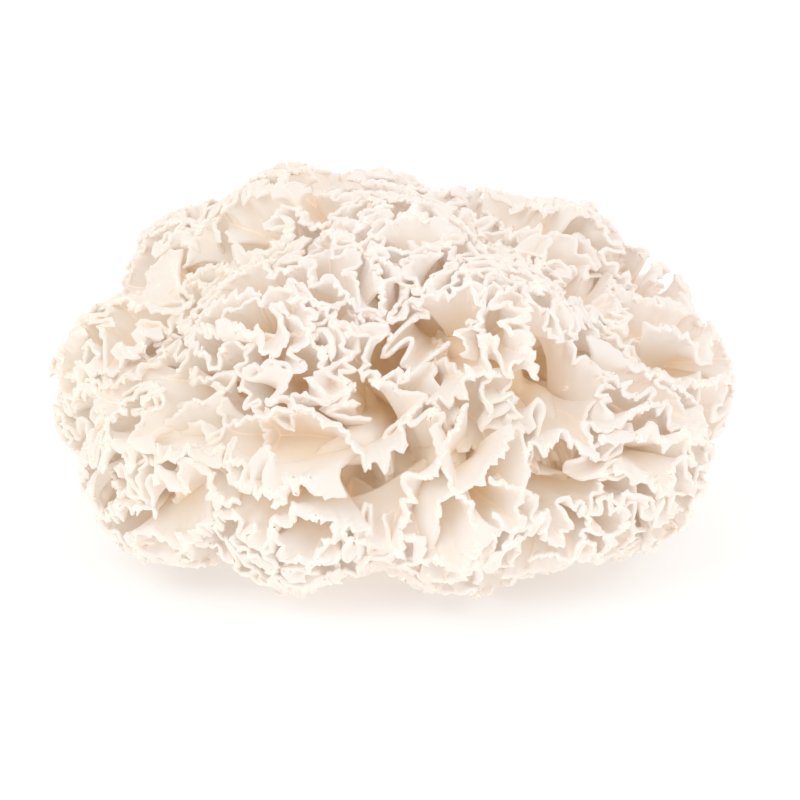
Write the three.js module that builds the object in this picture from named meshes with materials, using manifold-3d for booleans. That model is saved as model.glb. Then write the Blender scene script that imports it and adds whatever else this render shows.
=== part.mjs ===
// Cauliflower mushroom (Sparassis): one fruiting body, resting on the cut face of its stalk.
// A stalk divides into a fleshy heart, and flat ruffled fronds fan out of the heart on every side
// until their margins meet the rounded, lumpy outline of the whole head.
// Millimetres, +Z up, origin at the middle of the flat cut face that the mushroom rests on.
// The front of the head looks along -Y.

import * as THREE from "three";
import { mergeVertices } from "three/addons/utils/BufferGeometryUtils.js";
import Module from "manifold-3d";

// Overall size of the head.
const WIDTH = 250;
const DEPTH = 232;
const HEIGHT = 126;

// Stalk: the cut foot is a flat disc, and it widens into the heart.
const FOOT_RADIUS = 38;
const STALK_RADIUS = 46;
const STALK_TOP = 40;
const STALK_NECK = 0.9; // how wide the stalk is where it enters the heart, as a share of its widest part
const FOOT_BEVEL = 3;
const STALK_SIDES = 28;

// Fronds: how many, how thick, how wide and how ruffled they are.
const GROWTH_SEED = 20;
const FROND_COUNT = 42;
const LOWEST_FROND = -0.42; // sine of the lowest growth direction's angle
const FROND_THICKNESS = 6.4;
const FROND_HALF_ANGLE = 0.34;
const FROND_ROOT = 0.36; // where a frond leaves the heart, as a share of the way to the outline
const MARGIN_ROUNDING = 0.16; // how much shorter a frond is at its sides than in its middle
const RUFFLE_DEPTH = 0.13;
const RUFFLE_WAVES = 1.7;
const ROOT_WIDTH = 0.4; // width at the heart, as a share of the width at the margin
const BOW = 0.12; // how far a frond may cup to one side
const MARGIN_TAPER = 0.35; // how much thinner the margin is than the root
const FROND_COLUMNS = 9;
const FROND_ROWS = 3;
const FLOOR_CLEARANCE = 2.2; // the lowest frond margins stay this far above the resting face

// Heart: the grown-together middle, as a share of the outline.
const HEART_SHARE = 0.73;
const HEART_DETAIL = 4;

// The outline is the union of these rounded clumps: [x, y, z, radius], in millimetres.
const CENTRE = new THREE.Vector3(0, 4, 46);
const CLUMPS = [
  [-90, -14, 52, 34], [-73, -60, 36, 34], [-95, 12, 32, 27], [-66, 30, 76, 34],
  [-36, 22, 90, 36], [-8, 26, 88, 35], [28, 34, 80, 34], [60, 24, 78, 34],
  [84, 24, 62, 31], [91, -4, 50, 34], [78, -52, 38, 35], [56, -66, 36, 34],
  [-28, -76, 38, 38], [24, -78, 38, 38], [30, -42, 70, 40], [-34, -40, 72, 38],
  [0, 78, 44, 38], [-54, 64, 44, 37], [56, 66, 44, 37], [0, -10, 78, 44],
];
const HEAD_RADII = new THREE.Vector3(112, 98, 68);

const FLESH = new THREE.MeshStandardMaterial({ color: 0xf6ecda, roughness: 0.55, metalness: 0 });

const SAME_POINT = 1e-3; // points closer than this are one

const wasm = await Module();
wasm.setup();

// A small repeatable random sequence, so the head is the same each time.
function randomFrom(seed) {
  const multiplier = 1664525;
  const increment = 1013904223;
  const modulus = 2 ** 32;
  let state = seed;
  return () => {
    state = (state * multiplier + increment) % modulus;
    return state / modulus;
  };
}

function toSolid(geometry) {
  const bare = geometry.index ? geometry.toNonIndexed() : geometry.clone();
  bare.deleteAttribute("normal");
  bare.deleteAttribute("uv");
  const merged = mergeVertices(bare, SAME_POINT);
  return new wasm.Manifold(new wasm.Mesh({
    numProp: 3,
    vertProperties: merged.attributes.position.array,
    triVerts: new Uint32Array(merged.index.array),
  }));
}

function toGeometry(solid) {
  const mesh = solid.getMesh();
  const geometry = new THREE.BufferGeometry();
  geometry.setAttribute("position", new THREE.BufferAttribute(mesh.vertProperties, 3));
  geometry.setIndex(new THREE.BufferAttribute(mesh.triVerts, 1));
  geometry.computeVertexNormals();
  return geometry;
}

// Distance from the centre of the head to its outline, along a unit direction.
function outlineReach(direction) {
  const scaled = direction.clone().divide(HEAD_RADII);
  let reach = 1 / scaled.length();
  for (const [x, y, z, radius] of CLUMPS) {
    const toClump = new THREE.Vector3(x, y, z).sub(CENTRE);
    const along = toClump.dot(direction);
    const inside = radius * radius - toClump.lengthSq() + along * along;
    const far = inside > 0 ? along + Math.sqrt(inside) : 0;
    reach = Math.max(reach, far);
  }
  return reach;
}

// Growth directions spread evenly over the head, from below its widest part up to its crown.
function growthDirections() {
  const golden = Math.PI * (3 - Math.sqrt(5));
  return Array.from({ length: FROND_COUNT }, (_, i) => {
    const up = LOWEST_FROND + ((1 - LOWEST_FROND) * (i + 0.5)) / FROND_COUNT;
    const flat = Math.sqrt(1 - up * up);
    const turn = i * golden;
    return new THREE.Vector3(flat * Math.cos(turn), flat * Math.sin(turn), up);
  });
}

// One frond: a thick ruffled fan, narrow at the heart and wide at its margin.
function frondGeometry(direction, random) {
  const side = new THREE.Vector3(random() - 0.5, random() - 0.5, random() - 0.5)
    .cross(direction).normalize();
  const normal = direction.clone().cross(side);
  const phase = random() * Math.PI * 2;
  const bow = (random() - 0.5) * BOW;
  const halfThickness = normal.clone().multiplyScalar(FROND_THICKNESS / 2);
  const columns = FROND_COLUMNS + 1;
  const rows = FROND_ROWS + 1;
  const points = [];
  for (const face of [1, -1]) {
    for (let row = 0; row < rows; row++) {
      const out = row / FROND_ROWS;
      for (let column = 0; column < columns; column++) {
        const across = (2 * column) / FROND_COLUMNS - 1;
        const ruffle = RUFFLE_DEPTH * out * out * Math.sin(Math.PI * RUFFLE_WAVES * across + phase);
        const heading = direction.clone()
          .addScaledVector(side, across * FROND_HALF_ANGLE * (ROOT_WIDTH + (1 - ROOT_WIDTH) * out))
          .addScaledVector(normal, ruffle + bow * out * across * across)
          .normalize();
        const margin = outlineReach(heading) * (1 - MARGIN_ROUNDING * across * across);
        const length = margin * (FROND_ROOT + (1 - FROND_ROOT) * out);
        points.push(CENTRE.clone().addScaledVector(heading, length)
          .addScaledVector(halfThickness, face * (1 - MARGIN_TAPER * out)));
      }
    }
  }
  const at = (face, row, column) => (face * rows + row) * columns + column;
  const faces = [];
  const quad = (a, b, c, d) => faces.push(a, c, b, a, d, c);
  for (let row = 0; row < FROND_ROWS; row++) {
    for (let column = 0; column < FROND_COLUMNS; column++) {
      quad(at(0, row, column), at(0, row, column + 1), at(0, row + 1, column + 1), at(0, row + 1, column));
      quad(at(1, row, column), at(1, row + 1, column), at(1, row + 1, column + 1), at(1, row, column + 1));
    }
    quad(at(0, row, 0), at(0, row + 1, 0), at(1, row + 1, 0), at(1, row, 0));
    quad(at(0, row, FROND_COLUMNS), at(1, row, FROND_COLUMNS),
      at(1, row + 1, FROND_COLUMNS), at(0, row + 1, FROND_COLUMNS));
  }
  for (let column = 0; column < FROND_COLUMNS; column++) {
    quad(at(0, 0, column), at(1, 0, column), at(1, 0, column + 1), at(0, 0, column + 1));
    quad(at(0, FROND_ROWS, column), at(0, FROND_ROWS, column + 1),
      at(1, FROND_ROWS, column + 1), at(1, FROND_ROWS, column));
  }
  const geometry = new THREE.BufferGeometry().setFromPoints(points);
  geometry.setIndex(faces);
  return geometry;
}

// The heart: a rounded core that follows the outline from inside.
function heartSolid() {
  const geometry = new THREE.IcosahedronGeometry(1, HEART_DETAIL);
  const position = geometry.attributes.position;
  const point = new THREE.Vector3();
  for (let i = 0; i < position.count; i++) {
    point.fromBufferAttribute(position, i).normalize();
    const reach = outlineReach(point) * HEART_SHARE;
    point.multiplyScalar(reach).add(CENTRE);
    position.setXYZ(i, point.x, point.y, point.z);
  }
  return toSolid(geometry);
}

function stalkSolid() {
  const profile = [
    [0, 0],
    [FOOT_RADIUS - FOOT_BEVEL, 0],
    [FOOT_RADIUS, FOOT_BEVEL],
    [STALK_RADIUS, STALK_TOP / 2],
    [STALK_RADIUS * STALK_NECK, STALK_TOP],
    [0, STALK_TOP],
  ].map(([radius, height]) => new THREE.Vector2(radius, height));
  return toSolid(new THREE.LatheGeometry(profile, STALK_SIDES).rotateX(Math.PI / 2));
}

// Everything in the head that is above the given height.
function above(solid, height) {
  const reach = WIDTH * 2;
  const space = new THREE.BoxGeometry(reach, reach, reach).translate(0, 0, height + reach / 2);
  return solid.intersect(toSolid(space));
}

// The largest of the closed bodies.
function wholeBody(solid) {
  return solid.decompose().reduce((a, b) => (b.volume() > a.volume() ? b : a));
}

// Stretches the head a little, so that its widest points make the stated width, depth and height.
function toStatedSize(geometry) {
  geometry.computeBoundingBox();
  const { min, max } = geometry.boundingBox;
  geometry.translate(-(min.x + max.x) / 2, -(min.y + max.y) / 2, 0);
  geometry.scale(WIDTH / (max.x - min.x), DEPTH / (max.y - min.y), HEIGHT / max.z);
  return geometry;
}

function fruitingBody() {
  const random = randomFrom(GROWTH_SEED);
  const fronds = growthDirections().map((direction) => toSolid(frondGeometry(direction, random)));
  const head = fronds.reduce((sum, frond) => sum.add(frond), heartSolid());
  const body = wholeBody(above(head, FLOOR_CLEARANCE).add(stalkSolid()));
  return toStatedSize(toGeometry(body));
}

const mushroom = new THREE.Mesh(fruitingBody(), FLESH);
mushroom.name = "fruiting_body";

const cauliflowerMushroom = new THREE.Group();
cauliflowerMushroom.add(mushroom);

export default cauliflowerMushroom;
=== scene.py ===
import math

import bpy
import numpy as np
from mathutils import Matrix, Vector


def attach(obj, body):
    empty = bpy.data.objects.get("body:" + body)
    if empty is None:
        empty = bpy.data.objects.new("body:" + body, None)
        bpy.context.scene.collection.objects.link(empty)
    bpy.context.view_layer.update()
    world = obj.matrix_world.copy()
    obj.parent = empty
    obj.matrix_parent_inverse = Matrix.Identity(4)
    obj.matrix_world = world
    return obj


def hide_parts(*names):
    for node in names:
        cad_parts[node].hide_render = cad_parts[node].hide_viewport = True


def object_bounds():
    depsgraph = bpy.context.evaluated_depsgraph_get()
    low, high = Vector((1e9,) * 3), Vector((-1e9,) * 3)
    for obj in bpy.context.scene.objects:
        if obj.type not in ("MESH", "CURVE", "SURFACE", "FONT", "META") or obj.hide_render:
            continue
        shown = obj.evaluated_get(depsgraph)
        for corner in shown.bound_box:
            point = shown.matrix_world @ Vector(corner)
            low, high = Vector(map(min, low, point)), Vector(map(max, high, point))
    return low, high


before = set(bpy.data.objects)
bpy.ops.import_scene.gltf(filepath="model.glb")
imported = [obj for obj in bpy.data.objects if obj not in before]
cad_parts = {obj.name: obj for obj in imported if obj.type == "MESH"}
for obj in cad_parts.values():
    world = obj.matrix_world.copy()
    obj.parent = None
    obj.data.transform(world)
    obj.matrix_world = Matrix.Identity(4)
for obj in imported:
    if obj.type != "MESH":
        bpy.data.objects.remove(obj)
cadLow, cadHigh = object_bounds()
print("frame loaded:", ", ".join(sorted(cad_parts)))

mm = 0.001  # everything below is worked out in millimetres and made in metres
scene = bpy.context.scene


def unit(v):
    return v / np.maximum(np.sqrt((v * v).sum(-1, keepdims=True)), 1e-9)


def dot(a, b):
    return (a * b).sum(-1, keepdims=True)


# The head's outline: rounded clumps grown together round one heart. Each clump is [x, y, z, radius].
head = {
    "width": 250,
    "centre": (0, 4, 46),
    "heartRadii": (104, 92, 62),
    "clumps": [
        [-90, -14, 52, 34], [-73, -60, 36, 34], [-95, 12, 32, 27], [-66, 30, 76, 34],
        [-36, 22, 90, 36], [-8, 26, 88, 35], [28, 34, 80, 34], [60, 24, 78, 34],
        [84, 24, 62, 31], [91, -4, 50, 34], [78, -52, 38, 35], [56, -66, 36, 34],
        [-28, -76, 38, 38], [24, -78, 38, 38], [30, -42, 70, 40], [-34, -40, 72, 38],
        [0, 78, 44, 38], [-54, 64, 44, 37], [56, 66, 44, 37], [0, -10, 78, 44],
    ],
    "join": 4.0,  # how softly one clump runs into the next
    "floorGap": 2.5,
    "farthest": 170.0,  # no part of the outline is farther than this from the centre
    "halvings": 24,  # steps of the search for the outline along a direction
    "deepCreamAndShadeAt": 42,  # flesh this far inside the outline has the deepest colour: partly the creamier heart, partly painted shade in the deep gaps
    "boxGap": 0.3,  # between the fronds' widest points and the CAD box
}
stretch = (cadHigh[0] - cadLow[0]) / mm / head["width"]  # 1 while the CAD head keeps its stated width
centre = np.array(head["centre"], float) * stretch


def outline(p):
    away = np.sqrt((((p - centre) / (np.array(head["heartRadii"]) * stretch)) ** 2).sum(-1))
    s = (away - 1) * np.mean(head["heartRadii"]) * stretch
    for x, y, z, r in np.array(head["clumps"], float) * stretch:
        q = np.sqrt((p[..., 0] - x) ** 2 + (p[..., 1] - y) ** 2 + (p[..., 2] - z) ** 2) - r
        t = np.clip(0.5 + 0.5 * (q - s) / head["join"], 0, 1)
        s = q * (1 - t) + s * t - head["join"] * t * (1 - t)
    return np.maximum(s, head["floorGap"] - p[..., 2])


# A box of cells round the head holds the outline's distance and how crowded each place already is.
cells = {"size": 3.0, "margin": 12.0}
cellLow = np.array(cadLow) / mm - cells["margin"]
cellCount = np.ceil((np.array(cadHigh - cadLow) / mm + 2 * cells["margin"]) / cells["size"]).astype(int) + 1


def cellWeights(p):
    q = np.clip((p - cellLow) / cells["size"], 0.001, cellCount - 1.002)
    corner = q.astype(int)
    part = q - corner
    for step in np.ndindex(2, 2, 2):
        weight = np.prod(np.where(step, part, 1 - part), axis=-1)
        i, j, k = (corner[..., axis] + step[axis] for axis in range(3))
        yield (i * cellCount[1] + j) * cellCount[2] + k, weight


def readCells(field, p):
    flat = field.reshape(int(np.prod(cellCount)), -1)
    return sum(weight[..., None] * flat[index] for index, weight in cellWeights(p))


def addToCells(field, p, amount):
    flat = field.reshape(-1)
    for index, weight in cellWeights(p):
        flat += np.bincount(index.ravel(), (amount * weight).ravel(), flat.size)


def blurred(field, times):
    for _ in range(times):
        for axis in range(3):
            a = np.moveaxis(field, axis, 0)
            b = 0.5 * a
            b[:-1] += 0.25 * a[1:]
            b[1:] += 0.25 * a[:-1]
            field = np.moveaxis(b, 0, axis)
    return field


def slopeOf(field):
    return np.stack(np.gradient(field, cells["size"]), -1)


def outlineField():
    axes = [cellLow[i] + cells["size"] * np.arange(cellCount[i]) for i in range(3)]
    distance = outline(np.stack(np.meshgrid(*axes, indexing="ij"), -1))
    return distance, slopeOf(distance)


frond = {
    "spacing": 17.2,  # between neighbouring fronds on the outline
    "candidates": 5000,  # places that are tried on the outline
    "lowest": -0.42,  # sine of the lowest direction that fronds grow in
    "lowestTip": 7,
    "depth": 44.0,  # from the outline down to the root
    "shelfBelow": 64.0,  # fronds that start lower than this lie flatter and droop
    "shelfOver": 36.0,
    "droop": 0.06,
    "overhang": 3.0,
    "rootWidth": 9.0,
    "spread": 1.25,  # how much wider a fan gets for each millimetre it grows
    "excess": 2.3,  # extra margin length at the end, which makes the ruffles
    "excessPower": 5.0,
    "tilt": (0.1, 0.6),
    "recurve": 0.03,
    "bigger": 0.45,  # how much larger the broad fans at the front are
    "steps": 34,
    "longestSegment": 1.5,
    "mostPoints": 129,
    "relaxing": 14,
    "crowding": 6.0,
    "outward": 0.02,
    "ripple": 0.10,
    "rippleLengths": (34, 19, 11, 7),
    "lobes": 0.35,
    "lobeLengths": (26, 15, 9),
    "teeth": 0.38,
    "toothLengths": (3.6,),
    "toothedRows": 3,
    "slide": 0.25,
    "softEdge": 4.0,
    "slowing": 0.35,
    "sideways": 0.05,
    "rootThickness": 3.4,
    "marginThickness": 1.5,
    "seed": 4,
}


# The broad, smooth fans that stand out at the front, in degrees round from the front and up from
# level. A clock of 0 lays a fan flat like a shelf, and 90 stands it on edge.
broadFans = [
    {"round": -15, "up": 10, "size": 1.7, "clock": 35, "droop": 0.05},
    {"round": 15, "up": 26, "size": 1.9, "clock": 25, "droop": 0.045},
    {"round": 44, "up": 21, "size": 1.6, "clock": 60, "droop": 0.02},
    {"round": 23, "up": 2, "size": 1.5, "clock": 10, "droop": 0.06},
    {"round": 14, "up": -13, "size": 1.2, "clock": -10, "droop": 0.08},
    {"round": 39, "up": -9, "size": 1.3, "clock": 15, "droop": 0.08},
    {"round": -46, "up": 38, "size": 1.4, "clock": 70, "droop": 0.0},
    {"round": -46, "up": -8, "size": 1.4, "clock": -20, "droop": 0.05},
    {"round": -12, "up": -12, "size": 1.2, "clock": 0, "droop": 0.07},
]


def fibonacciDirections(count, lowest):
    i = np.arange(count)
    up = lowest + (1 - lowest) * (i + 0.5) / count
    flat = np.sqrt(1 - up * up)
    turn = i * math.pi * (3 - math.sqrt(5))
    return np.stack([flat * np.cos(turn), flat * np.sin(turn), up], -1)


def outlineAlong(direction):
    low, high = np.zeros(len(direction)), np.full(len(direction), head["farthest"]) * stretch
    for _ in range(head["halvings"]):
        middle = 0.5 * (low + high)
        inside = outline(centre + direction * middle[:, None]) < 0
        low, high = np.where(inside, middle, low), np.where(inside, high, middle)
    return centre + direction * low[:, None]


def fanSize(p):
    near = np.exp(-(((p[:, 0] - 8) / 48) ** 2 + ((p[:, 2] - 42) / 34) ** 2))
    return 1 + frond["bigger"] * near * (p[:, 1] < -30)


def frondStarts(random):
    turn, rise = (np.radians([fan[key] for fan in broadFans]) for key in ("round", "up"))
    broad = np.stack([np.cos(rise) * np.sin(turn), -np.cos(rise) * np.cos(turn), np.sin(rise)], -1)
    direction = np.concatenate([broad, fibonacciDirections(frond["candidates"], frond["lowest"])])
    tip = outlineAlong(direction)
    offsets = np.eye(3)
    facing = unit(np.stack([outline(tip + o) - outline(tip - o) for o in offsets], -1))
    size = fanSize(tip)
    size[: len(broad)] = [fan["size"] for fan in broadFans]
    kept = list(range(len(broad)))
    for i in random.permutation(np.arange(len(broad), len(tip))):
        if tip[i, 2] < frond["lowestTip"]:
            continue
        gap = np.sqrt(((tip[kept] - tip[i]) ** 2).sum(-1))
        if (gap > 0.5 * frond["spacing"] * (size[i] + size[kept])).all():
            kept.append(i)
    return tip[kept], facing[kept], direction[kept], size[kept]


def evened(row, times, share=0.5):
    for _ in range(times):
        new = row.copy()
        new[:, 1:-1] = (1 - share) * row[:, 1:-1] + share * 0.5 * (row[:, :-2] + row[:, 2:])
        row = new
    return row


def doubled(row):
    count, points, axes = row.shape
    new = np.empty((count, 2 * points - 1, axes))
    new[:, ::2] = row
    new[:, 1::2] = 0.5 * (row[:, :-1] + row[:, 1:])
    return new


def alongRow(row):
    along = np.empty_like(row)
    along[:, 1:-1] = row[:, 2:] - row[:, :-2]
    along[:, 0] = row[:, 1] - row[:, 0]
    along[:, -1] = row[:, -1] - row[:, -2]
    return unit(along)


def growFronds():
    random = np.random.RandomState(frond["seed"])
    distance, slope = outlineField()
    tip, facing, direction, size = frondStarts(random)
    count = len(tip)

    up = np.array([0.0, 0.0, 1.0])

    def vary(low, high):
        return random.uniform(low, high, count)

    tilt = random.normal(0, 1, (count, 3))
    tilt = unit(tilt - facing * dot(tilt, facing))
    tilt[: len(broadFans)] *= 0.2
    heading = unit(facing * 0.6 + direction * 0.4 + tilt * vary(*frond["tilt"])[:, None])
    depth = frond["depth"] * vary(0.85, 1.15) * (0.55 + 0.45 * size)
    depth = np.minimum(depth, np.sqrt(((tip - centre) ** 2).sum(-1)) * 0.72)
    root = tip - heading * depth[:, None]
    length = depth + frond["overhang"] * vary(0.3, 1.7)
    # low fronds are shelves with their broad side up, and the ones above stand at any angle
    shelf = np.clip((frond["shelfBelow"] - tip[:, 2]) / frond["shelfOver"], 0, 1)[:, None]
    side = unit(np.cross(heading, random.normal(0, 1, (count, 3)) * (1 - 0.75 * shelf) + up * shelf * 1.6))
    droop = frond["droop"] * vary(0.2, 1.3)[:, None] * shelf
    for i, fan in enumerate(broadFans):
        level = unit(np.cross(heading[i], up))
        clock = math.radians(fan["clock"])
        side[i] = level * math.cos(clock) + np.cross(heading[i], level) * math.sin(clock)
        droop[i] = fan["droop"]
    droop = droop[:, None]
    spread = frond["spread"] * vary(0.75, 1.25)
    excess = frond["excess"] * vary(0.7, 1.35) / size**0.8
    rootWidth = frond["rootWidth"] * vary(0.8, 1.3) * size
    recurve = frond["recurve"] * vary(-1, 1)
    cup = vary(-0.5, 0.5)
    phase = random.uniform(0, 2 * math.pi, (count, 12))

    points = 9
    across = np.linspace(-1, 1, points)
    away = np.cross(side, heading)
    bowed = (cup[:, None] * across**2)[..., None] * away[:, None]
    row = root[:, None] + (rootWidth[:, None] * across * 0.5)[..., None] * side[:, None]
    row = row + bowed * rootWidth[:, None, None] * 0.4
    turn = (spread[:, None] * 0.5 * across)[..., None]
    going = unit(heading[:, None] * np.cos(turn) + side[:, None] * np.sin(turn) + bowed * 0.5)

    crowd = np.zeros(cellCount)
    rows = [row]
    step = length / frond["steps"]
    for s in range(frond["steps"]):
        grown = (s + 1) / frond["steps"]
        goal = (rootWidth + spread * length * grown) * (1 + excess * grown ** frond["excessPower"])
        if (goal / (points - 1)).mean() > frond["longestSegment"] and points < frond["mostPoints"]:
            row, going = doubled(row), unit(doubled(going))
            points = 2 * points - 1
            rows[-1] = row
        segment = goal[:, None] / (points - 1)
        along = alongRow(row)
        normal = unit(np.cross(along, going))
        arc = np.linspace(-0.5, 0.5, points) * goal[:, None]

        def waves(lengths, first):
            total = 0
            for i, wave in enumerate(lengths, first):
                total = total + np.sin(2 * math.pi * arc / wave + phase[:, i : i + 1])
            return total

        push = normal * (waves(frond["rippleLengths"], 0) * frond["ripple"] * 0.25 * (0.3 + grown))[..., None]
        crush = readCells(slopeOf(blurred(crowd, 2)), row)
        push = push - frond["crowding"] * (crush - going * dot(crush, going))
        push = push + frond["outward"] * unit(row - centre)
        push = push + normal * (recurve * step * grown)[:, None, None] - up * droop * grown
        going = unit(going + push)

        outside = readCells(distance, row + going * step[:, None, None] * 2)
        wall = unit(readCells(slope, row))
        close = np.clip((outside + frond["softEdge"]) / frond["softEdge"], 0, 1)
        going = going - wall * np.maximum(dot(going, wall), 0) * close * frond["slide"]
        going = unit(going - wall * np.clip(outside, 0, 4) * 0.10)

        lobe = 1 + frond["lobes"] * 0.5 * waves(frond["lobeLengths"], 4) * grown**1.5
        advance = step[:, None] * np.clip(lobe, 0.25, 1.6) * (1 - (1 - frond["slowing"]) * close[..., 0])
        if s >= frond["steps"] - frond["toothedRows"]:
            tooth = random.uniform(-1, 1, advance.shape) + 0.6 * waves(frond["toothLengths"], 8)
            advance = advance * np.clip(1 + frond["teeth"] * tooth, 0.15, 2.2)
        advance = advance[..., None]
        new = row + going * advance
        for _ in range(frond["relaxing"]):
            for start in (0, 1):
                near, far = new[:, start:-1:2], new[:, start + 1 :: 2]
                near = near[:, : far.shape[1]]
                gap = far - near
                long = np.sqrt((gap * gap).sum(-1))
                shift = (0.5 * (long - segment) / np.maximum(long, 1e-6))[..., None] * gap
                shift = np.clip(shift, -0.3, 0.3)
                new[:, start : start + 2 * far.shape[1] : 2] += shift
                new[:, start + 1 :: 2] -= shift
            change = (new - row) / advance - going
            flat = along * np.clip(dot(change, along), -frond["sideways"], frond["sideways"])
            new = row + unit(going + flat + normal * np.clip(dot(change, normal), -0.8, 0.8)) * advance
        going = unit(evened(unit(new - row), 1))
        row = row + going * advance
        addToCells(crowd, row, segment * advance[..., 0] / cells["size"] ** 3)
        rows.append(row)
    print("fronds grown:", count, "with", points, "points on each margin")
    return rows, root, heading


def stitched(kept):
    faces = []
    first = np.concatenate([[0], np.cumsum([r.shape[1] for r in kept])])
    for k in range(len(kept) - 1):
        low, high = first[k], first[k + 1]
        share = (kept[k + 1].shape[1] - 1) // (kept[k].shape[1] - 1)
        for i in range(kept[k].shape[1] - 1):
            for j in range(share):
                foot = low + i + (1 if j >= share / 2 else 0)
                faces.append((foot, high + i * share + j + 1, high + i * share + j))
            faces.append((low + i, low + i + 1, high + i * share + max(1, share // 2)))
    return np.array(faces), first


def frondShells(rows):
    picked = [0, 5, 10, 15, 20, 23, 26, 28, 30, *range(32, len(rows))]
    kept = [evened(rows[k], 2) if k < len(rows) - frond["toothedRows"] else rows[k] for k in picked]
    faces, first = stitched(kept)
    sheet = np.concatenate(kept, 1)
    count, size = sheet.shape[:2]
    corner = [sheet[:, faces[:, k]] for k in range(3)]
    faceNormal = np.cross(corner[1] - corner[0], corner[2] - corner[0])
    normal = np.zeros_like(sheet)
    for k in range(3):
        for f in range(count):
            for axis in range(3):
                normal[f, :, axis] += np.bincount(faces[:, k], faceNormal[f, :, axis], size)
    normal = unit(normal)
    reach = np.concatenate([np.full(r.shape[1], k / (len(rows) - 1)) for k, r in zip(picked, kept)])
    thick = frond["rootThickness"] + (frond["marginThickness"] - frond["rootThickness"]) * reach**0.8

    leftSide, rightSide = list(first[:-2]), list(first[1:-1] - 1)
    margin, rootRow = list(range(first[-2], first[-1])), list(range(first[0], first[1]))
    loop = np.array(leftSide + margin + rightSide[::-1] + rootRow[1:-1][::-1])
    ring = sheet[:, loop]
    outwards = unit(np.cross(normal[:, loop], np.roll(ring, -1, 1) - np.roll(ring, 1, 1)))
    outwards = outwards * np.sign(((ring - sheet.mean(1, keepdims=True)) * outwards).sum(-1).mean())
    rim = ring + outwards * (thick[loop] * 0.45)[:, None]
    half = normal * (thick * 0.5)[:, None]
    points = np.concatenate([sheet + half, sheet - half, rim], 1)

    here = np.arange(len(loop))
    after = np.roll(here, -1)
    upper, lower, edge = loop, loop + size, 2 * size + here
    band = np.concatenate([
        np.stack([upper, upper[after], edge[after]], 1), np.stack([upper, edge[after], edge], 1),
        np.stack([lower[after], lower, edge], 1), np.stack([lower[after], edge, edge[after]], 1),
    ])
    run = {(a, b) for face in faces.tolist() for a, b in zip(face, face[1:] + face[:1])}
    if (loop[0], loop[1]) in run:
        band = band[:, ::-1]
    shell = np.concatenate([faces, faces[:, ::-1] + size, band])
    one = points[0]
    if (np.cross(one[shell[:, 0]], one[shell[:, 1]]) * one[shell[:, 2]]).sum() < 0:
        shell = shell[:, ::-1]
    along = np.concatenate([reach, reach, reach[loop]])
    return points, shell, along


def fitInside(points):
    # the fronds' widest points meet the CAD head's box, a hair inside it
    low = np.array(cadLow) / mm + head["boxGap"]
    high = np.array(cadHigh) / mm - head["boxGap"]
    low[2] = head["floorGap"]
    nowLow, nowHigh = points.reshape(-1, 3).min(0), points.reshape(-1, 3).max(0)
    print("fronds before the fit:", np.round(nowLow, 1), np.round(nowHigh, 1))
    scale = (high - low) / (nowHigh - nowLow)
    return scale, low - nowLow * scale


def meshFrom(name, points, faces, attributes, material):
    mesh = bpy.data.meshes.new(name)
    mesh.vertices.add(len(points))
    mesh.vertices.foreach_set("co", (points * mm).astype(np.float32).ravel())
    mesh.loops.add(faces.size)
    mesh.loops.foreach_set("vertex_index", faces.astype(np.int32).ravel())
    mesh.polygons.add(len(faces))
    mesh.polygons.foreach_set("loop_start", np.arange(0, faces.size, 3, dtype=np.int32))
    mesh.polygons.foreach_set("use_smooth", np.ones(len(faces), bool))
    for key, values in attributes.items():
        mesh.attributes.new(key, "FLOAT", "POINT").data.foreach_set("value", values.astype(np.float32))
    mesh.update(calc_edges=True)
    mesh.materials.append(material)
    piece = bpy.data.objects.new(name, mesh)
    scene.collection.objects.link(piece)
    return piece


# A node's output that Python arithmetic works on.
class Wire:
    def __init__(self, tree, socket):
        self.tree, self.socket = tree, socket

    def node(self, kind, settings=None, inputs=None, output=0):
        made = self.tree.nodes.new(kind)
        for key, value in (settings or {}).items():
            setattr(made, key, value)
        for key, value in (inputs or {}).items():
            if isinstance(value, Wire):
                self.tree.links.new(value.socket, made.inputs[key])
            else:
                made.inputs[key].default_value = value
        return Wire(self.tree, made.outputs[output])

    def math(self, operation, a, b):
        return self.node("ShaderNodeMath", {"operation": operation}, {0: a, 1: b})

    def __add__(self, other):
        return self.math("ADD", self, other)

    __radd__ = __add__

    def __sub__(self, other):
        return self.math("SUBTRACT", self, other)

    def __rsub__(self, other):
        return self.math("SUBTRACT", other, self)

    def __mul__(self, other):
        return self.math("MULTIPLY", self, other)

    __rmul__ = __mul__

    def clamped(self):
        return self.node("ShaderNodeClamp", {}, {"Value": self})


flesh = {
    "margin": (0.975, 0.87, 0.79, 1),
    "body": (0.97, 0.845, 0.73, 1),
    "cream": (0.975, 0.85, 0.69, 1),
    # the deep colour is partly the heart's creamier flesh and partly painted shade darkening the deep gaps
    "deepCreamAndShade": (0.89, 0.61, 0.32, 1),
    "cut": (0.84, 0.66, 0.46, 1),  # the foot, where the knife went through
    "scatter": (1.0, 0.85, 0.7),
    "scatterDepth": 0.9 * mm,
    "paintedGlow": 0.045,  # painted glow: the flesh gives off light, standing in for light passing through thin fronds, and lifts the shade in the folds
}


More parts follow.
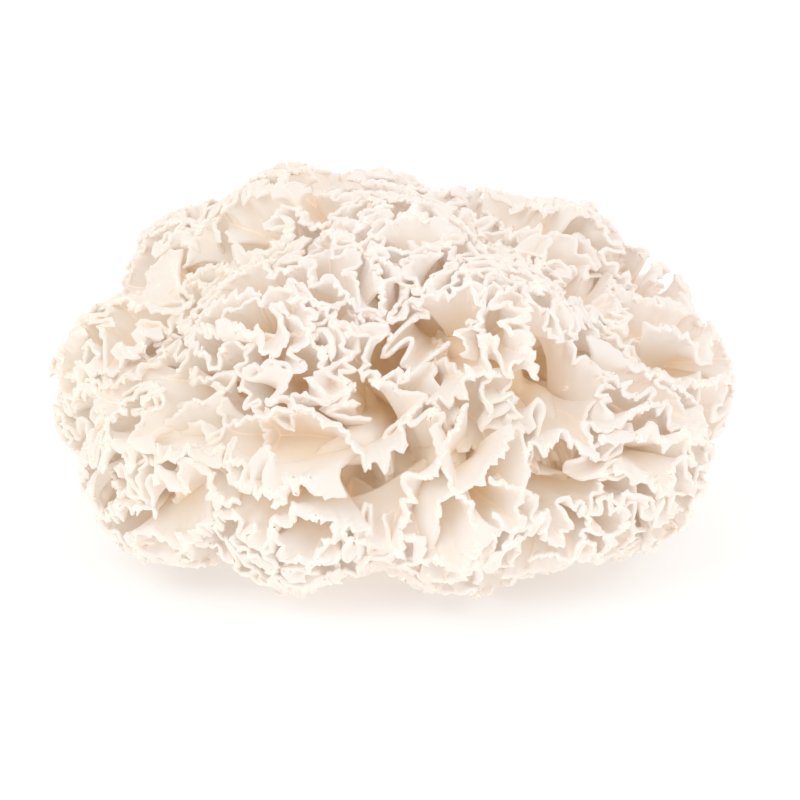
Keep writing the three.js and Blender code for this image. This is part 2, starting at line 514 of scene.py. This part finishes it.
def makeFlesh():
    material = bpy.data.materials.new("flesh")
    material.use_nodes = True
    tree = material.node_tree
    shader = tree.nodes["Principled BSDF"]
    shader.subsurface_method = "BURLEY"
    start = Wire(tree, tree.nodes.new("ShaderNodeTexCoord").outputs["Object"])

    def attribute(name):
        return start.node("ShaderNodeAttribute", {"attribute_name": name}, output=2)

    def noise(scale, detail, rough=0.5):
        wanted = {"Vector": start, "Scale": scale, "Detail": detail, "Roughness": rough}
        return start.node("ShaderNodeTexNoise", inputs=wanted)

    def mixed(mask, a, b):
        return start.node("ShaderNodeMix", {"data_type": "RGBA"}, {0: mask, 6: a, 7: b}, 2)

    reach, depth = attribute("reach"), attribute("depth")
    patches = noise(38, 3)
    toMargin = ((reach - 0.45) * 1.7 + (patches - 0.5) * 0.5).clamped()
    # mixes in the deep colour by depth inside the outline: a creamier heart, and painted shade in the gaps between
    # fronds
    toDeepCreamAndShade = (depth * 1.9 - 0.3 + (patches - 0.5) * 0.25).clamped()
    # the left of the head is creamier than the right
    place = start.node("ShaderNodeSeparateXYZ", inputs={"Vector": start})
    toCream = (place * -2.6 + noise(13, 2) * 1.6 - 0.62).clamped()
    outer = mixed(toMargin, flesh["body"], flesh["margin"])
    upwards = start.node("ShaderNodeSeparateXYZ", inputs={"Vector": start}, output=2)
    toCut = (1 - upwards * 900).clamped() * (noise(60, 4) * 0.7 + 0.3)
    colour = mixed(toDeepCreamAndShade, mixed(toCream, outer, flesh["cream"]), flesh["deepCreamAndShade"])
    colour = mixed(toCut, colour, flesh["cut"])
    tree.links.new(colour.socket, shader.inputs["Base Color"])
    grain = noise(520, 4, 0.6)
    tree.links.new((0.5 + (grain - 0.5) * 0.25).socket, shader.inputs["Roughness"])
    height = grain * 0.25 + noise(150, 3) * 0.75
    bump = start.node("ShaderNodeBump", {}, {"Strength": 0.35, "Distance": 0.6 * mm, "Height": height})
    tree.links.new(bump.socket, shader.inputs["Normal"])
    shader.inputs["Subsurface Weight"].default_value = 1.0
    shader.inputs["Subsurface Radius"].default_value = flesh["scatter"]
    shader.inputs["Subsurface Scale"].default_value = flesh["scatterDepth"]
    # painted glow: the flesh emits light in its own colour, which lifts the shade in its folds
    tree.links.new(colour.socket, shader.inputs["Emission Color"])
    shader.inputs["Emission Strength"].default_value = flesh["paintedGlow"]
    shader.inputs["Specular IOR Level"].default_value = 0.35
    return material


fleshMaterial = makeFlesh()
rows, roots, headings = growFronds()
points, shell, along = frondShells(rows)
scale, offset = fitInside(points)
points = points * scale + offset
roots = roots * scale + offset
print("triangles on the fronds:", len(points) * len(shell))

# Six pieces of about the same size: the crown, then five round the head.
tipHeight = points[:, :, 2].max(1)
middle = points.mean(1) - centre
turned = np.arctan2(middle[:, 0], -middle[:, 1])
order = np.argsort(-tipHeight)
share = math.ceil(len(order) / 6)
around = order[share:][np.argsort(turned[order[share:]])]
groups = {"fronds_crown": order[:share]}
for i, name in enumerate(("back_left", "left", "front", "right", "back_right")):
    groups["fronds_" + name] = around[i * share : (i + 1) * share]
pieces = []
for name, members in groups.items():
    chosen = points[members]
    count, size = chosen.shape[:2]
    faces = (shell[None] + (np.arange(count) * size)[:, None, None]).reshape(-1, 3)
    flat = chosen.reshape(-1, 3)
    depth = np.clip(-outline(flat) / head["deepCreamAndShadeAt"], 0, 1)
    attributes = {"reach": np.tile(along, count), "depth": depth}
    pieces.append(meshFrom(name, flat, faces, attributes, fleshMaterial))
    print(name, "fronds", count, "triangles", len(faces))


stalk = {
    "footRadius": 34.0,
    "footHeight": 20.0,
    "heartHeight": 44.0,
    "heartRadius": 20.0,
    "branchRadius": 12.0,
    "tipRadius": 3.0,
    "lead": 20.0,  # how far each branch runs on into its frond
    "beadSpacing": 3.0,
    "voxel": 2.8,
}


def stalkTree():
    tree = bpy.data.node_groups.new("branching_stalk", "GeometryNodeTree")
    for name, kind in (("Branches", "Geometry"), ("Bead Spacing", "Float"), ("Voxel Size", "Float"),
                       ("Flesh", "Material")):
        tree.interface.new_socket(name=name, in_out="INPUT", socket_type="NodeSocket" + kind)
    tree.interface.new_socket(name="Stalk", in_out="OUTPUT", socket_type="NodeSocketGeometry")
    given = tree.nodes.new("NodeGroupInput").outputs
    branches, spacing, voxel, paint = (Wire(tree, socket) for socket in list(given)[:4])
    node = branches.node

    # beads along every branch melt into one body, and a block below the floor cuts the foot flat
    radius = node("GeometryNodeInputNamedAttribute", {"data_type": "FLOAT"}, {"Name": "thick"})
    curve = node("GeometryNodeMeshToCurve", {}, {"Mesh": branches})
    beads = node("GeometryNodeCurveToPoints", {"mode": "LENGTH"}, {"Curve": curve, "Length": spacing})
    cloud = node("GeometryNodePointsToVolume", {"resolution_mode": "VOXEL_SIZE"},
                 {"Points": beads, "Density": 1.0, "Radius": radius, "Voxel Size": voxel})
    skin = node("GeometryNodeVolumeToMesh", {"resolution_mode": "VOXEL_SIZE"},
                {"Volume": cloud, "Threshold": 0.5, "Voxel Size": voxel})
    block = node("GeometryNodeMeshCube", {}, {"Size": (0.4, 0.4, 0.2)})
    below = node("GeometryNodeTransform", {}, {"Geometry": block, "Translation": (0, 0, -0.1)})
    cut = node("GeometryNodeMeshBoolean", {"operation": "DIFFERENCE"}, {"Mesh 1": skin, "Mesh 2": below})
    smooth = node("GeometryNodeSetShadeSmooth", {}, {"Geometry": cut})
    real = node("GeometryNodeRealizeInstances", {}, {"Geometry": smooth})
    painted = node("GeometryNodeSetMaterial", {}, {"Geometry": real, "Material": paint})
    tree.links.new(painted.socket, tree.nodes.new("NodeGroupOutput").inputs[0])
    return tree


def makeStalk(roots, headings):
    heart = np.array([0, centre[1], stalk["heartHeight"]])
    spots, edges, thick = [], [], []

    def branch(points, radii):
        first = len(spots)
        spots.extend(points)
        thick.extend(radii)
        edges.extend((first + i, first + i + 1) for i in range(len(points) - 1))

    foot = np.array([0, centre[1], 0.0])
    branch([foot - [0, 0, 6], foot + [0, 0, stalk["footHeight"]], heart],
           [stalk["footRadius"], stalk["footRadius"], stalk["heartRadius"]])
    for root, heading in zip(roots, headings):
        bend = 0.5 * (root + heart) - [0, 0, 4]
        radii = [stalk["heartRadius"] * 0.7, stalk["branchRadius"], 0.7 * stalk["branchRadius"], stalk["tipRadius"]]
        branch([heart, bend, root, root + heading * stalk["lead"]], radii)
    mesh = bpy.data.meshes.new("branches")
    mesh.from_pydata([tuple(p * mm) for p in spots], edges, [])
    mesh.attributes.new("thick", "FLOAT", "POINT").data.foreach_set("value", np.array(thick, np.float32) * mm)
    rough = bpy.data.objects.new("branches", mesh)
    scene.collection.objects.link(rough)
    modifier = rough.modifiers.new("stalk", "NODES")
    modifier.node_group = stalkTree()
    sockets = {s.name: s.identifier for s in modifier.node_group.interface.items_tree if s.in_out == "INPUT"}
    modifier[sockets["Bead Spacing"]] = stalk["beadSpacing"] * mm
    modifier[sockets["Voxel Size"]] = stalk["voxel"] * mm
    modifier[sockets["Flesh"]] = fleshMaterial
    made = bpy.data.meshes.new_from_object(rough.evaluated_get(bpy.context.evaluated_depsgraph_get()))
    bpy.data.objects.remove(rough)
    made.name = "stalk"
    flat = np.empty(len(made.vertices) * 3, np.float32)
    made.vertices.foreach_get("co", flat)
    depth = np.clip(-outline(flat.reshape(-1, 3) / mm) / head["deepCreamAndShadeAt"], 0, 1)
    made.attributes.new("depth", "FLOAT", "POINT").data.foreach_set("value", depth.astype(np.float32))
    piece = bpy.data.objects.new("stalk", made)
    scene.collection.objects.link(piece)
    print("stalk faces:", len(made.polygons))
    return piece


pieces.append(makeStalk(roots, headings))

for piece in pieces:
    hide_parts("fruiting_body")
    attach(piece, "root")


view = {
    "elevation": 20,
    "distance": 1.02,
    "lens": 125,
    "target": (0.002, 0, 0.043),
}


def pointAt(thing, target):
    thing.rotation_euler = (Vector(target) - thing.location).to_track_quat("-Z", "Y").to_euler()


camera = bpy.data.objects.new("camera", bpy.data.cameras.new("camera"))
scene.collection.objects.link(camera)
tilt = math.radians(view["elevation"])
camera.location = Vector(view["target"]) + view["distance"] * Vector((0, -math.cos(tilt), math.sin(tilt)))
pointAt(camera, view["target"])
camera.data.lens = view["lens"]
scene.camera = camera

lights = {
    "key": {"at": (-0.45, -0.55, 0.85), "size": 0.6, "power": 1.5},
    "fill": {"at": (0.8, -0.5, 0.5), "size": 0.8, "power": 0.6},
    "back": {"at": (0.1, 0.8, 0.6), "size": 0.6, "power": 0.7},
}
for name, light in lights.items():
    data = bpy.data.lights.new(name, "AREA")
    data.energy, data.size = light["power"], light["size"]
    lamp = bpy.data.objects.new(name, data)
    scene.collection.objects.link(lamp)
    lamp.location = light["at"]
    pointAt(lamp, view["target"])

studio = {"sky": 0.8, "floorSize": 8, "floorGlow": 0.3, "gamma": 1.55}
world = bpy.data.worlds.new("studio")
scene.world = world
world.use_nodes = True
world.node_tree.nodes["Background"].inputs["Color"].default_value = (1, 1, 1, 1)
world.node_tree.nodes["Background"].inputs["Strength"].default_value = studio["sky"]

bpy.ops.mesh.primitive_plane_add(size=studio["floorSize"])
floor = bpy.context.object
floor.name = "floor"
paper = bpy.data.materials.new("paper")
paper.use_nodes = True
paperInputs = paper.node_tree.nodes["Principled BSDF"].inputs
paperInputs["Base Color"].default_value = (0.9, 0.9, 0.9, 1)
paperInputs["Roughness"].default_value = 0.8
paperInputs["Emission Color"].default_value = (1, 1, 1, 1)
paperInputs["Emission Strength"].default_value = studio["floorGlow"]
floor.data.materials.append(paper)
scene.view_settings.view_transform = "Standard"
scene.view_settings.gamma = studio["gamma"]  # lifts the folds, as soft light through the flesh does
